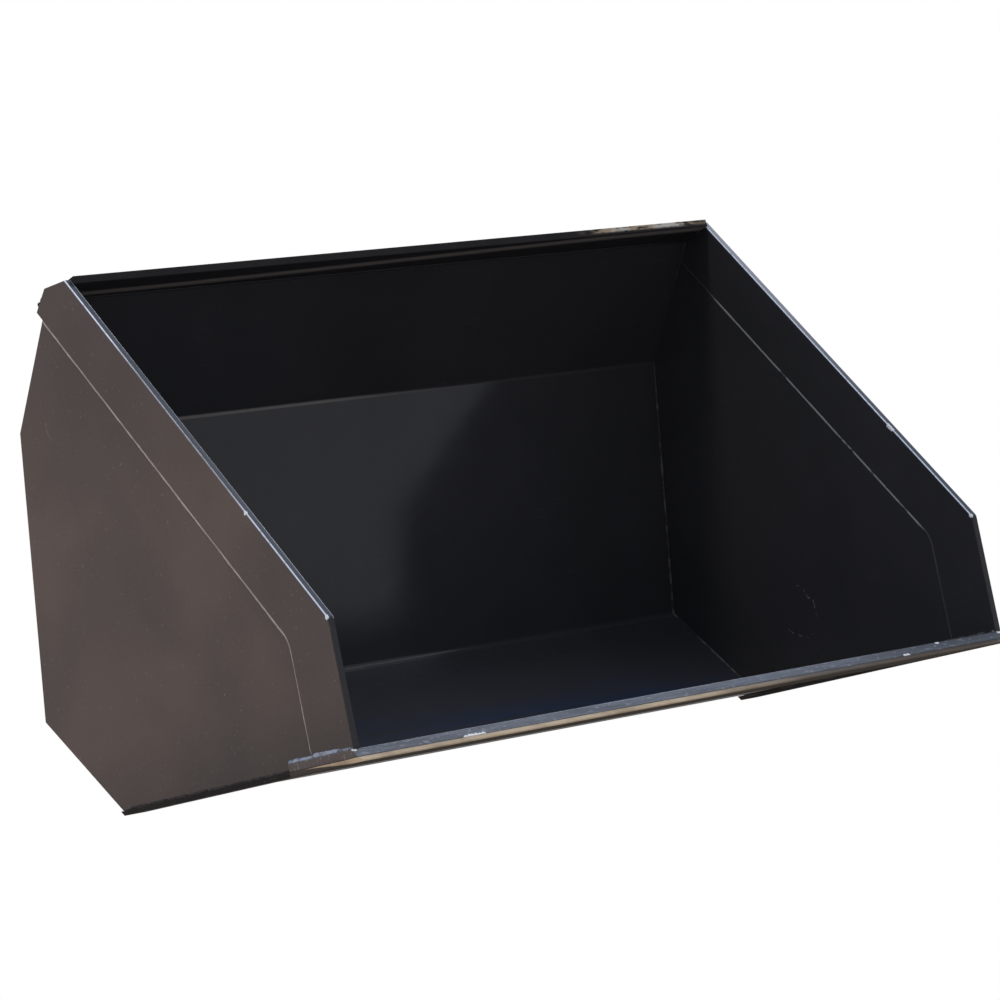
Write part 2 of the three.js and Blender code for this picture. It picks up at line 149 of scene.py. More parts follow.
def view_axes(azimuth, elevation, roll):
    """The camera's right, up and backward directions, from angles in degrees."""
    turn, rise, lean = (math.radians(angle) for angle in (azimuth, elevation, roll))
    forward = Vector((math.sin(turn) * math.cos(rise), math.cos(turn) * math.cos(rise), -math.sin(rise)))
    level = forward.cross(UP).normalized()
    right = level * math.cos(lean) + level.cross(forward) * math.sin(lean)
    return right, right.cross(forward), -forward


def add_camera():
    data = bpy.data.cameras.new("camera")
    data.lens = VIEW_LENS
    camera = bpy.data.objects.new("camera", data)
    bpy.context.scene.collection.objects.link(camera)
    axes = view_axes(VIEW_AZIMUTH, VIEW_ELEVATION, VIEW_ROLL)
    place = Matrix.Translation(VIEW_TARGET + axes[2] * VIEW_DISTANCE)
    camera.matrix_world = place @ Matrix(axes).transposed().to_4x4()
    bpy.context.scene.camera = camera


# ---- Node trees ----
class Tree:
    """A node tree being written, with one call for each node."""

    def __init__(self, tree):
        self.tree = tree
        tree.nodes.clear()

    def add(self, kind, inputs=None, **settings):
        made = self.tree.nodes.new("ShaderNode" + kind)
        for key, value in settings.items():
            setattr(made, key, value)
        for key, value in (inputs or {}).items():
            self.put(made.inputs[key], value)
        return made

    def put(self, socket, value):
        if isinstance(value, bpy.types.NodeSocket):
            self.tree.links.new(value, socket)
        else:
            socket.default_value = value

    def math(self, operation, *values, clamp=False):
        made = self.add("Math", dict(enumerate(values)), operation=operation, use_clamp=clamp)
        return made.outputs[0]

    def times(self, first, second):
        return self.math("MULTIPLY", first, second)

    def apart(self, first, second):
        return self.math("ABSOLUTE", self.math("SUBTRACT", first, second))

    def vector(self, operation, *values):
        made = self.add("VectorMath", dict(enumerate(values)), operation=operation)
        return made.outputs["Value" if operation in ("DOT_PRODUCT", "LENGTH", "DISTANCE") else "Vector"]

    def noise(self, at, scale, detail=3.0, roughness=0.55, distortion=0.0):
        inputs = {"Vector": at, "Scale": scale, "Detail": detail, "Roughness": roughness,
                  "Distortion": distortion}
        return self.add("TexNoise", inputs).outputs["Fac"]

    def stretched(self, at, scale, turn=(0, 0, 0)):
        inputs = {"Vector": at, "Scale": scale, "Rotation": turn}
        return self.add("Mapping", inputs).outputs["Vector"]

    def step(self, value, start, end, low=0.0, high=1.0):
        """A smooth change from low to high as the value goes from start to end."""
        inputs = {"Value": value, "From Min": start, "From Max": end, "To Min": low, "To Max": high}
        return self.add("MapRange", inputs, interpolation_type="SMOOTHSTEP").outputs["Result"]

    def blend(self, share, first, second):
        made = self.add("Mix", data_type="RGBA")
        self.put(made.inputs["Factor"], share)
        self.put(made.inputs[6], first)
        self.put(made.inputs[7], second)
        return made.outputs[2]

    def mix_numbers(self, share, first, second):
        made = self.add("Mix", data_type="FLOAT")
        self.put(made.inputs["Factor"], share)
        self.put(made.inputs[2], first)
        self.put(made.inputs[3], second)
        return made.outputs[0]

    def bump(self, height, distance, normal=None):
        inputs = {"Height": height, "Distance": distance, "Strength": 1.0}
        if normal is not None:
            inputs["Normal"] = normal
        return self.add("Bump", inputs).outputs["Normal"]


def new_material(name):
    material = bpy.data.materials.new(name)
    material.use_nodes = True
    return material, Tree(material.node_tree)


def finish_surface(tree, colour, rough, normal, ior=1.45, sheen=0.5):
    inputs = {"Base Color": colour, "Roughness": rough, "Normal": normal, "IOR": ior,
              "Specular IOR Level": sheen}
    shader = tree.add("BsdfPrincipled", inputs)
    tree.add("OutputMaterial", {"Surface": shader.outputs[0]})


# ---- Surfaces ----
ARRIS_SHIFT = -0.4 * MM  # the painted highlight sits just inside the edge
NORMAL_SHIFT = 0.35  # how far the rounded normal of an edge turns before it counts as fully worn
MILL_DEPTH = 1.6 * MM  # the waves of the rolled plate
PEEL_DEPTH = 0.03 * MM  # orange peel in the enamel
CHIP_DEPTH = 0.12 * MM
HIGHLIGHT_REACH = (0.8 * MM, 2.6 * MM)  # full painted highlight within the first of an arris, none past the second
ENAMEL_CHIP = (5.0 * MM, 8.0 * MM)  # radius, and how ragged its outline is
EDGE_CHIP_SIZE = (6.0 * MM, 9.0 * MM)
BRIGHT_FADE = 15 * MM  # half the height over which a seam's painted highlights fade


def coordinates(tree):
    """The place on the part and its X, Y and Z, and the X, Y and Z of the surface normal."""
    at = tree.add("TexCoord").outputs["Object"]
    place = tree.add("SeparateXYZ", {0: at}).outputs
    tilt = tree.add("SeparateXYZ", {0: tree.add("NewGeometry").outputs["Normal"]}).outputs
    return at, place, tilt


def end_faces(tree, tilt):
    """1 on the faces that look along X."""
    return tree.step(tree.math("ABSOLUTE", tilt["X"]), 0.5, 0.8)


def edge_mask(tree, radius):
    """1 on the sharp edges of a part, falling to 0 within the radius."""
    soft = tree.add("Bevel", {"Radius": radius}, samples=6).outputs[0]
    straight = tree.add("NewGeometry").outputs["Normal"]
    shift = tree.vector("DISTANCE", soft, straight)
    return tree.step(shift, 0.03, NORMAL_SHIFT)


def scratches(tree, at, scale, turn, thin):
    """Sparse long hairlines along one direction."""
    lines = tree.noise(tree.stretched(at, (scale * 0.02, scale * 0.02, scale), turn), 1.0, 2.0, 0.4, 0.15)
    hair = tree.step(tree.apart(lines, 0.5), 0.0, thin, 1.0, 0.0)
    where = tree.step(tree.noise(at, scale * 0.045, 2.0), 0.55, 0.70)
    return tree.times(hair, where)


def nearest(tree, at, centres):
    distances = [tree.vector("DISTANCE", at, tuple(centre)) for centre in centres]
    closest = distances[0]
    for distance in distances[1:]:
        closest = tree.math("MINIMUM", closest, distance)
    return closest


def spots(tree, at, centres, radius, ragged):
    """1 inside ragged patches round some points."""
    uneven = tree.times(tree.math("SUBTRACT", tree.noise(at, 160.0, 4.0, 0.7), 0.5), ragged)
    reach = tree.math("ADD", nearest(tree, at, centres), uneven)
    return tree.step(reach, radius * 0.85, radius, 1.0, 0.0)


def scuff_arcs(tree, at, centres, radius):
    """Broken, wandering arcs scraped round some points."""
    wander = tree.times(tree.math("SUBTRACT", tree.noise(at, 9.0, 3.0, 0.6), 0.5), radius * 1.6)
    reach = tree.math("ADD", nearest(tree, at, centres), wander)
    off = tree.apart(reach, radius)
    line = tree.step(off, 0.5 * MM, 2.0 * MM, 1.0, 0.0)
    broken = tree.times(tree.step(tree.noise(at, 24.0, 3.0), 0.51, 0.60),
                       tree.step(tree.noise(at, 110.0, 2.0), 0.44, 0.54))
    return tree.times(line, broken)


def flat_point(tree, place):
    return tree.add("CombineXYZ", {0: 0.0, 1: place["Y"], 2: place["Z"]}).outputs[0]


def near_line(tree, place, line, width):
    """1 on a line that runs along X through a (y, z) point, falling to 0 within the width."""
    away = tree.vector("DISTANCE", flat_point(tree, place), (0.0, line.y, line.z))
    return tree.step(away, width * 0.35, width, 1.0, 0.0)


def slope_arris_lines(tree, place, slope, faces):
    """1 along the two long arrises of the side cutters' slope: slope is a point and an outward normal."""
    point, out = slope
    offset = tree.vector("SUBTRACT", flat_point(tree, place), tuple(point))
    from_edge = tree.vector("DOT_PRODUCT", offset, tuple(out))
    reach = tree.apart(from_edge, ARRIS_SHIFT)
    width = tree.math("ABSOLUTE", place["X"])
    off = [tree.apart(width, face) for face in faces]
    far = tree.math("MAXIMUM", reach, tree.math("MINIMUM", *off))
    return tree.step(far, *HIGHLIGHT_REACH, 1.0, 0.0)


def painted_slope_highlight(tree, place, edge_noise, slope):
    """The painted highlight along the slopes' arrises, weaker halfway down the left one."""
    lit_arris = tree.times(slope_arris_lines(tree, place, *slope), tree.step(edge_noise, 0.30, 0.50, 0.55, 1.0))
    ends = tree.math("MAXIMUM", tree.step(place["Z"], *HIGHLIGHT_TOP, HIGHLIGHT_MIDDLE),
                     tree.step(place["Z"], *HIGHLIGHT_FOOT, 1.0, HIGHLIGHT_MIDDLE))
    ends = tree.math("MAXIMUM", ends, tree.math("GREATER_THAN", place["X"], 0.0))
    return tree.times(lit_arris, ends)


def haze(tree, at):
    """Slow clouds over the enamel, and the finer patches inside them."""
    slow = tree.noise(at, 2.3, 2.0, 0.5, 0.4)
    patch = tree.noise(at, 11.0, 4.0, 0.6, 0.3)
    mixed = tree.math("MULTIPLY_ADD", patch, 0.15, tree.times(slow, 0.85))
    return tree.step(mixed, 0.34, 0.66), patch


def outside_dust_and_shade(tree, place, cloud, patch, tones):
    """Dust on the outside, with painted shade darkening it along the bottom and towards the top."""
    tinted = tree.blend(cloud, *tones)
    # painted shade, darker along the bottom and towards the top
    low = tree.step(place["Z"], *LOW_SHADE_HEIGHTS, 0.45, 0.0)
    tinted = tree.blend(tree.times(low, tree.step(patch, 0.3, 0.6, 0.6, 1.0)), tinted, BOTTOM_SHADE)
    return tree.blend(tree.step(place["Z"], *HIGH_SHADE_HEIGHTS, 0.0, 0.55), tinted, TOP_SHADE)


def painted_sky_streaks(tree, at, place, tilt, heel):
    """Painted navy sky light, in streaks along X on the lower part of the heel and fainter on the floor,
    inside the bucket.
    """
    low = tree.step(place["Z"], heel.z, heel.z + STREAK_REACH, 1.0, 0.0)
    low = tree.times(low, tree.step(tilt["Z"], -0.1, 0.1))
    low = tree.times(low, tree.step(tilt["Z"], 0.85, 0.95, 1.0, 0.3))
    x_streaks = tree.noise(tree.stretched(at, (2.0, 30.0, 70.0)), 1.0, 3.0, 0.6)
    return tree.times(low, tree.step(x_streaks, 0.42, 0.66, 0.20, 1.0))


def painted_bend_highlight(tree, place, patch, line, width, strength):
    """A broken painted highlight along a bend, fading towards the right."""
    fade = tree.step(place["X"], *CREASE_FADE, strength, strength * 0.12)
    crease = tree.times(near_line(tree, place, line, width), fade)
    return tree.times(crease, tree.step(patch, 0.30, 0.55, 0.45, 1.0))


def enamel_bumps(tree, at, bare):
    """The plate's slow waves, orange peel, and the step down into bare metal."""
    mill = tree.noise(tree.stretched(at, (2.2, 2.2, 5.0)), 1.0, 2.0, 0.5)
    peel = tree.noise(at, 420.0, 2.0, 0.5)
    bumps = tree.bump(mill, MILL_DEPTH)
    bumps = tree.bump(peel, PEEL_DEPTH, bumps)
    return tree.bump(tree.times(bare, -1.0), CHIP_DEPTH, bumps)


def enamel(name, gloss, outside_tone=None, chips=(), scuffs=(), creases=(), heel=None, slope=None,
           wear=0.5, sheen=0.47):
    """Black enamel on hot-rolled plate: hazy, brown with dust outside, worn and chipped on its edges, and
    where asked, painted sky light on the heel, painted highlights along bends and slope arrises, and painted
    shade outside.
    """
    material, tree = new_material(name)
    at, place, tilt = coordinates(tree)
    outward = tree.times(tilt["X"], tree.math("SIGN", place["X"]))
    outside = tree.step(outward, 0.4, 0.8)
    cloud, patch = haze(tree, at)
    colour = tree.blend(cloud, *ENAMEL)
    if outside_tone:
        colour = tree.blend(outside, colour, outside_dust_and_shade(tree, place, cloud, patch, outside_tone))
    if heel is not None:
        # painted navy sky light in streaks on the heel
        colour = tree.blend(painted_sky_streaks(tree, at, place, tilt, heel), colour, NAVY_SKY_LIGHT)
    # painted highlights along the wrapper's two bends
    for line, width, strength in creases:
        colour = tree.blend(painted_bend_highlight(tree, place, patch, line, width, strength), colour, BEND_HIGHLIGHT)
    specks = tree.step(tree.noise(at, 170.0, 2.0, 0.5), 0.69, 0.75)
    specks = tree.times(specks, tree.math("MULTIPLY_ADD", outside, 0.20, 0.02))
    colour = tree.blend(specks, colour, SPECK_DUST)
    lines = tree.math("MAXIMUM", scratches(tree, at, 240.0, (0.6, 0.1, 0.0), 0.008),
                      scratches(tree, at, 310.0, (-0.45, 0.0, 0.35), 0.007))
    colour = tree.blend(tree.times(lines, 0.10), colour, SCRATCH)
    if scuffs:
        arcs = scuff_arcs(tree, at, scuffs, SCUFF_RADIUS)
        colour = tree.blend(tree.times(arcs, 0.45), colour, SCUFF)
    edge_noise = tree.noise(at, 90.0, 4.0, 0.65)
    worn_edges = tree.times(edge_mask(tree, 1.6 * MM), tree.step(edge_noise, 0.60, 0.66))
    bare = tree.times(worn_edges, wear)
    if chips:
        bare = tree.math("MAXIMUM", bare, spots(tree, at, chips, *ENAMEL_CHIP))
    colour = tree.blend(bare, colour, BARE_STEEL)
    # a painted highlight along the side cutters' slope arrises
    if slope:
        colour = tree.blend(painted_slope_highlight(tree, place, edge_noise, slope), colour, ARRIS_HIGHLIGHT)

    film = tree.times(outside, cloud)
    rough = tree.math("MULTIPLY_ADD", patch, 0.10, gloss)
    rough = tree.math("ADD", rough, tree.times(film, 0.10))
    if heel is not None:
        start, end = (heel.z + height for height in DULL_HEEL)
        rough = tree.math("ADD", rough, tree.step(place["Z"], start, end, 0.24, 0.0))
    rough = tree.math("MAXIMUM", rough, tree.times(bare, 0.45), clamp=True)
    finish_surface(tree, colour, rough, enamel_bumps(tree, at, bare), 1.42, sheen)
    return material


def lip_bar_finish(name, lo, hi):
    """The lip bar: a brown band underneath, and its front rubbed to tan and white at the right."""
    material, tree = new_material(name)
    at, place, tilt = coordinates(tree)
    patch = tree.noise(at, 12.0, 5.0, 0.6, 0.3)
    fine = tree.noise(tree.stretched(at, (40.0, 160.0, 160.0)), 1.0, 4.0, 0.65)

    start, full, fading, end = (hi.x * share for share in LIP_WEAR)
    right = tree.times(tree.step(place["X"], start, full),
                      tree.step(place["X"], fading, end, 1.0, 0.4))
    right = tree.times(right, tree.step(place["Z"], hi.z - 12 * MM, hi.z - 7 * MM))
    rubbed = tree.step(tree.math("MULTIPLY_ADD", patch, 0.3, fine), 0.54, 0.66)
    rubbed = tree.times(right, rubbed)
    front_strip = tree.step(place["Y"], lo.y + 4 * MM, lo.y + 14 * MM, 1.0, 0.0)
    rubbed = tree.times(rubbed, front_strip)
    front = tree.blend(tree.step(patch, 0.35, 0.65), *LIP_FRONT)
    front = tree.blend(rubbed, front, tree.blend(tree.step(patch, 0.45, 0.6), *LIP_WORN))

    depth = tree.step(place["X"], lo.x, hi.x, *UNDERSIDE_BAND)
    limit = tree.math("MULTIPLY_ADD", depth, hi.y - lo.y, lo.y)
    inward = tree.math("SUBTRACT", place["Y"], limit)
    tinted = tree.times(tree.step(inward, -26 * MM, -14 * MM),
                      tree.step(inward, -8 * MM, 6 * MM, 1.0, 0.0))
    below = tree.blend(tinted, *LIP_UNDERSIDE)
    under = tree.step(tilt["Z"], -0.9, -0.6, 1.0, 0.0)
    colour = tree.blend(under, front, below)
    rough = tree.math("MULTIPLY_ADD", patch, 0.2, 0.42)
    finish_surface(tree, colour, rough, tree.bump(fine, 0.15 * MM), 1.40, sheen=0.15)
    return material


def bare_edge(name, hi, chips):
    """The base edge: polished enamel with blue-grey streaks along X that are partly scrapes and partly
    painted sky reflection, with a few bright chips.
    """
    material, tree = new_material(name)
    at, place, tilt = coordinates(tree)
    patch = tree.noise(tree.stretched(at, (9.0, 60.0, 60.0)), 1.0, 4.0, 0.6, 0.3)
    x_streaks = tree.noise(tree.stretched(at, (14.0, 420.0, 420.0)), 1.0, 3.0, 0.6)
    fade = tree.step(place["X"], hi.x * 0.45, hi.x, 1.0, 0.30)
    scrapes_and_sky_tint = tree.times(tree.step(x_streaks, 0.35, 0.65, 0.55, 1.0), fade)
    scrapes_and_sky_tint = tree.times(scrapes_and_sky_tint, tree.step(patch, 0.36, 0.58, 0.50, 1.0))
    # blue-grey streaks: scrapes, and painted sky reflection
    colour = tree.blend(scrapes_and_sky_tint, *EDGE_ENAMEL_AND_SKY)
    colour = tree.blend(end_faces(tree, tilt), colour, tree.blend(patch, *EDGE_ENDS))
    flecks = tree.noise(tree.stretched(at, (60.0, 160.0, 160.0)), 1.0, 3.0, 0.6)
    flecks = tree.times(tree.step(flecks, 0.58, 0.66), 0.30)
    colour = tree.blend(flecks, colour, EDGE_FLECK)
    colour = tree.blend(spots(tree, at, chips, *EDGE_CHIP_SIZE), colour, EDGE_CHIP)
    rough = tree.math("MULTIPLY_ADD", patch, 0.15, 0.24)
    finish_surface(tree, colour, rough, tree.bump(x_streaks, 0.05 * MM))
    return material


def tan_nose_steel(name, lo, hi):
    """The cutting edge: dark steel, tan along the nose and in a wedge on its ends."""
    material, tree = new_material(name)
    at, place, tilt = coordinates(tree)
    patch = tree.noise(at, 14.0, 5.0, 0.6, 0.3)
    fine = tree.noise(at, 130.0, 4.0, 0.65)
    ragged = tree.times(tree.math("SUBTRACT", patch, 0.5), 60 * MM)
    start, end = (lo.y + depth for depth in NOSE_DEPTH)
    nose = tree.step(tree.math("ADD", place["Y"], ragged), start, end, 1.0, 0.0)
    height = tree.step(place["Y"], lo.y, lo.y + WEDGE_LENGTH, lo.z, hi.z)
    wedge = tree.step(tree.math("SUBTRACT", place["Z"], height), -1.0 * MM, 1.0 * MM)
    rubbed = tree.mix_numbers(end_faces(tree, tilt), nose, wedge)
    start, end = (hi.x * share for share in NOSE_TAN_SPAN)
    rubbed = tree.times(rubbed, tree.step(place["X"], start, end, 1.0, 0.12))
    tinted = tree.blend(tree.step(patch, 0.35, 0.65), *NOSE_TANS)
    tinted = tree.blend(tree.step(fine, 0.56, 0.7, 0.0, 0.45), tinted, NOSE_PALE)
    down = tree.step(tilt["Z"], -0.9, -0.6, 1.0, 0.0)
    shown = tree.times(rubbed, tree.math("SUBTRACT", 1.0, down))
    colour = tree.blend(shown, DARK_STEEL, tinted)
    rough = tree.math("MULTIPLY_ADD", rubbed, 0.32, 0.30)
    rough = tree.math("MAXIMUM", rough, tree.times(down, 0.95))
    x_streaks = tree.noise(tree.stretched(at, (60.0, 420.0, 420.0)), 1.0, 3.0, 0.6)
    bumps = tree.bump(x_streaks, 0.10 * MM)
    finish_surface(tree, colour, rough, tree.bump(fine, 0.20 * MM, bumps), sheen=0.12)
    return material


def weld_enamel(name, tones, gloss, broken=0.5, bright=None, sheen=0.5):
    """Enamel over weld metal, in broken lengths of a darker and a paler tone."""
    material, tree = new_material(name)
    at = tree.add("TexCoord").outputs["Object"]
    patch = tree.noise(at, 34.0, 3.0, 0.6)
    fine = tree.noise(at, 300.0, 3.0, 0.6)
    share = tree.step(tree.math("MULTIPLY_ADD", fine, 0.3, tree.times(patch, 0.7)),
                      broken - 0.05, broken + 0.05)
    if bright:
        rise = tree.add("SeparateXYZ", {0: at}).outputs["Z"]
        for height, below, above in zip(bright, (0.08, 1.0), (1.0, 0.03)):
            limit = tree.step(rise, height - BRIGHT_FADE, height + BRIGHT_FADE, below, above)
            share = tree.times(share, limit)
    colour = tree.blend(share, *tones)
    rough = tree.math("MULTIPLY_ADD", patch, 0.2, gloss)
    finish_surface(tree, colour, rough, tree.bump(fine, 0.10 * MM), sheen=sheen)
    return material


# ---- Studio: one-sided pale floor, a sky that is white where it is seen directly, and soft lights ----
FLOOR_RADIUS = 9.0
FLOOR_STEPS = 96
FLOOR_DROP = 0.5 * MM  # how far the floor lies below the part, so that their faces don't fight
WARM_DIRECTION = Vector((-0.64, 0.76, 0.05)).normalized()
SKY_PANEL = ((2.8, 0.35, 3.8), (1.8, 1.6), 29.0, (0.84, 0.86, 1.0))  # place, size, power, colour
SUN_PANEL = ((-2.2, -0.65, 3.9), (0.5, 0.5), 42.0, (1.0, 0.98, 0.95))


def add_floor():
    """A pale disc that shows only from above, and lets light up to the underside of the bucket."""
    mesh = bpy.data.meshes.new("studio_floor")
    ring = bmesh.new()
    bmesh.ops.create_circle(ring, cap_ends=True, radius=FLOOR_RADIUS, segments=FLOOR_STEPS)
    ring.to_mesh(mesh)
    ring.free()
    floor = bpy.data.objects.new("studio_floor", mesh)
    floor.location.z = cad_box[0].z - FLOOR_DROP
    bpy.context.scene.collection.objects.link(floor)
    material, tree = new_material("studio_floor")
    at = tree.add("TexCoord").outputs["Object"]
    shade = tree.blend(tree.noise(at, 0.9, 3.0), *FLOOR_TONES)
    lit = tree.add("BsdfDiffuse", {"Color": shade})
    clear = tree.add("BsdfTransparent")
    under = tree.add("NewGeometry").outputs["Backfacing"]
    place = tree.add("SeparateXYZ", {0: at})
    across, along = (tree.math("LESS_THAN", tree.math("ABSOLUTE", place.outputs[axis]), reach)
                     for axis, reach in (("X", cad_box[1].x), ("Y", cad_box[1].y)))
    unseen = tree.math("SUBTRACT", 1.0, tree.add("LightPath").outputs["Is Camera Ray"])
    beneath = tree.times(tree.times(across, along), unseen)
    seen_through = tree.math("MAXIMUM", under, beneath)
    mixed = tree.add("MixShader", {0: seen_through, 1: lit.outputs[0], 2: clear.outputs[0]})
    tree.add("OutputMaterial", {"Surface": mixed.outputs[0]})
    mesh.materials.append(material)


def add_sky():
    world = bpy.data.worlds.new("studio")
    world.use_nodes = True
    bpy.context.scene.world = world
    tree = Tree(world.node_tree)
    towards = tree.add("TexCoord").outputs["Generated"]
    rise = tree.add("SeparateXYZ", {0: towards}).outputs["Z"]
    sky = tree.blend(tree.step(rise, -0.1, 0.9), *SKY_TONES)
    warm_side = tree.vector("DOT_PRODUCT", towards, tuple(WARM_DIRECTION))
    sky = tree.blend(tree.step(warm_side, 0.75, 0.97), sky, WARM_CARD)
    seen = tree.add("LightPath").outputs["Is Camera Ray"]
    backdrop = tree.blend(seen, sky, BACKDROP)
    glow = tree.add("Background", {"Color": backdrop, "Strength": 1.0})
    tree.add("OutputWorld", {"Surface": glow.outputs[0]})


def add_lamp(name, target, place, size, power, colour):
    data = bpy.data.lights.new(name, "AREA")
    data.shape = "RECTANGLE"
    data.size, data.size_y = size
    data.energy = power
    data.color = colour
    lamp = bpy.data.objects.new(name, data)
    bpy.context.scene.collection.objects.link(lamp)
    lamp.location = place
    aim = Vector(target) - Vector(place)
    lamp.rotation_mode = "QUATERNION"
    lamp.rotation_quaternion = aim.to_track_quat("-Z", "Y")


def add_studio():
    add_floor()
    add_sky()
    middle = (cad_box[0] + cad_box[1]) / 2
    add_lamp("sky_panel", middle, *SKY_PANEL)
    add_lamp("sun_panel", middle, *SUN_PANEL)
    bpy.context.scene.view_settings.view_transform = "Standard"


# ---- Outlines read from the frame: a plate's (y, z) corners, in order round its face at one X end ----
TOUCHING = 0.01 * MM  # corners and faces closer than this count as touching
FAR = 1e9


def cap_outline(name):
    mesh = nodes[name].data
    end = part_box(name)[1].x
    spot = {v.index: (round(v.co.y, 6), round(v.co.z, 6)) for v in mesh.vertices}
    sides = set()
    for face in mesh.polygons:
        if any(abs(mesh.vertices[i].co.x - end) > TOUCHING for i in face.vertices):
            continue
        ring = [spot[i] for i in face.vertices]
        sides.update(zip(ring, ring[1:] + ring[:1]))
    following = {a: b for a, b in sides if (b, a) not in sides}
    loop = [min(following)]
    while following[loop[-1]] != loop[0]:
        loop.append(following[loop[-1]])
    return [Vector((0, y, z)) for y, z in loop]


def distance_to_outline(at, loop):
    best = FAR
    for a, b in zip(loop, loop[1:] + loop[:1]):
        along = b - a
        share = min(1, max(0, (at - a).dot(along) / along.length_squared))
        best = min(best, (a + along * share - at).length)
    return best


def seams(name, other, reach=1.0 * MM):
    """The stretches of one plate's outline that lie against another plate."""
    loop = cap_outline(name)
    against = cap_outline(other)
    count = len(loop)
    middles = [(a + b) / 2 for a, b in zip(loop, loop[1:] + loop[:1])]
    close = [distance_to_outline(middle, against) < reach for middle in middles]
    runs = []
    for i in range(count):
        if close[i] and not close[i - 1]:
            run = [loop[i]]
            while close[i % count]:
                run.append(loop[(i + 1) % count])
                i += 1
            runs.append(run)
    return runs


def outward_normal(a, b):
    """Away from a plate whose outline runs anticlockwise seen from +X."""
    along = (b - a).normalized()
    return Vector((0, along.z, -along.y))


# ---- Weld beads ----
RIPPLE_STEP = 1.6 * MM
RIPPLE_PITCH = 5.5 * MM
SECTION = 6
SLOW_WAVES, QUICK_WAVES = 22, 130  # per metre of seam, in a bead's width
BLUNT_END = 0.6 * MM  # keeps a bead from closing to a point at its ends
ROOT_DEPTH = 0.3 * MM  # how far a bead's root lies behind its seam
TINY = 1e-9
HALF_GAP = 0.15 * MM  # half the clearance between welded plates
SEEDS = {"shell": 11, "strip_line": 23, "strip_inside": 31, "cutter_foot": 41, "cutter_inside": 47,
         "front_edge": 53, "lip_bar": 71, "runners": 97, "mount": 113, "ribs": 131, "gussets": 151}


class Beads:
    """Weld beads gathered into one mesh, named after what they join."""

    def __init__(self, kind, side_name=None, uneven=1.0):
        self.name = f"weld_{kind}_{side_name}" if side_name else "weld_" + kind
        self.dice = random.Random(SEEDS[kind] + SIDES.get(side_name, 0))
        self.uneven = uneven
        self.mesh = bmesh.new()

    def lay(self, path, legs, crown, out=None):
        """One bead along a path. Each point has two legs, the vectors from it to the bead's two toes."""
        lengths = [0.0]
        for a, b in zip(path, path[1:]):
            lengths.append(lengths[-1] + (b - a).length)
        total = lengths[-1]
        steps = max(4, round(total / RIPPLE_STEP))
        shift = self.dice.uniform(0, 100)
        rings = []
        for index in range(steps + 1):
            run = total * index / steps
            piece = max(i for i in range(len(path) - 1) if lengths[i] <= run + TINY)
            share = (run - lengths[piece]) / max(TINY, lengths[piece + 1] - lengths[piece])
            centre = path[piece].lerp(path[piece + 1], share)
            first, second = (legs[piece][k].lerp(legs[piece + 1][k], share) for k in (0, 1))
            rings.append(self.ring(centre, first, second, crown, out, run, total, shift))
        for a, b in zip(rings, rings[1:]):
            for k in range(len(a)):
                j = (k + 1) % len(a)
                self.mesh.faces.new((a[k], a[j], b[j], b[k]))
        self.mesh.faces.new(rings[0][::-1])
        self.mesh.faces.new(rings[-1])

    def ring(self, centre, first, second, crown, out, run, total, shift):
        reach = max(first.length, second.length)
        taper = min(1.0, (min(run, total - run) + BLUNT_END) / (1.5 * reach)) ** 0.5
        slow = noise.noise(Vector((run * SLOW_WAVES, shift, 0)))
        quick = noise.noise(Vector((run * QUICK_WAVES, shift, 7)))
        size = taper * (1 + self.uneven * (0.20 * slow + 0.10 * quick))
        away = out or (first.normalized() + second.normalized()).normalized()
        corners = [centre - away * ROOT_DEPTH]
        for k in range(SECTION + 1):
            across = 2 * k / SECTION - 1
            ripple = (run / RIPPLE_PITCH + shift + 0.4 * across * across) % 1.0
            rise = crown * taper * (1 - across * across) * (1 + 0.25 * slow) * (0.75 + 0.5 * ripple)
            chord = first.lerp(second, k / SECTION) * size
            corners.append(centre + chord + away * rise)
        return [self.mesh.verts.new(corner) for corner in corners]

    def finish(self, material):
        bmesh.ops.recalc_face_normals(self.mesh, faces=self.mesh.faces)
        mesh = bpy.data.meshes.new(self.name)
        self.mesh.to_mesh(mesh)
        self.mesh.free()
        mesh.shade_smooth()
        mesh.materials.append(material)
        piece = bpy.data.objects.new(self.name, mesh)
        bpy.context.scene.collection.objects.link(piece)
        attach(piece, "root")


# ---- Where the welds run: the legs are how far a bead reaches along the two faces that it joins ----
SHELL_LEGS = (3.2 * MM, 7.0 * MM)  # inside and outside the bucket
CROWN_SHARE = 0.2  # how far most beads stand out, as a share of their leg
STRIP_LEG = 9.2 * MM
STRIP_STEP_SHARE = 0.99  # the bead stays just below the side cutter's face
STRIP_CROWN = 0.5 * MM
FLUSH_LEG = 2.4 * MM
FLUSH_CROWN = 0.8 * MM
FOOT_HEIGHTS = (4.5 * MM, 6.5 * MM, 8.5 * MM)  # at the cutter's front, midway, and at the side plate
FOOT_UNEVEN = 2.4  # times as uneven as the other beads
FOOT_CROWN = 0.35 * MM
FOOT_SHARE = 0.60  # how much of the ledge the bead covers
WRAP_SHARES = (0.62, 0.62, 0.50)  # the same on its way round the side plate's foot
WRAP_LEGS = (8 * MM, 5.5 * MM, 6 * MM)
WRAP_CROWN = 0.8 * MM
INSIDE_LEG = 5 * MM
FRONT_LEGS = (7 * MM, 6 * MM)  # above and below the floor
LIP_LEG = 5 * MM
LIP_UNDER = (0.08, 0.52)  # where the lip bar's end seams start and stop, as shares of its depth
LIP_OVER = (0.20, 0.62)
RUNNER_LEG = 6 * MM
OUTER_RUNNER_LEGS = (5.0 * MM, 4.5 * MM)  # along the runner and up the side plate
RUNNER_SET_IN = (6 * MM, 24 * MM)  # at the runner's front and rear
RUNNER_STITCH = 62 * MM
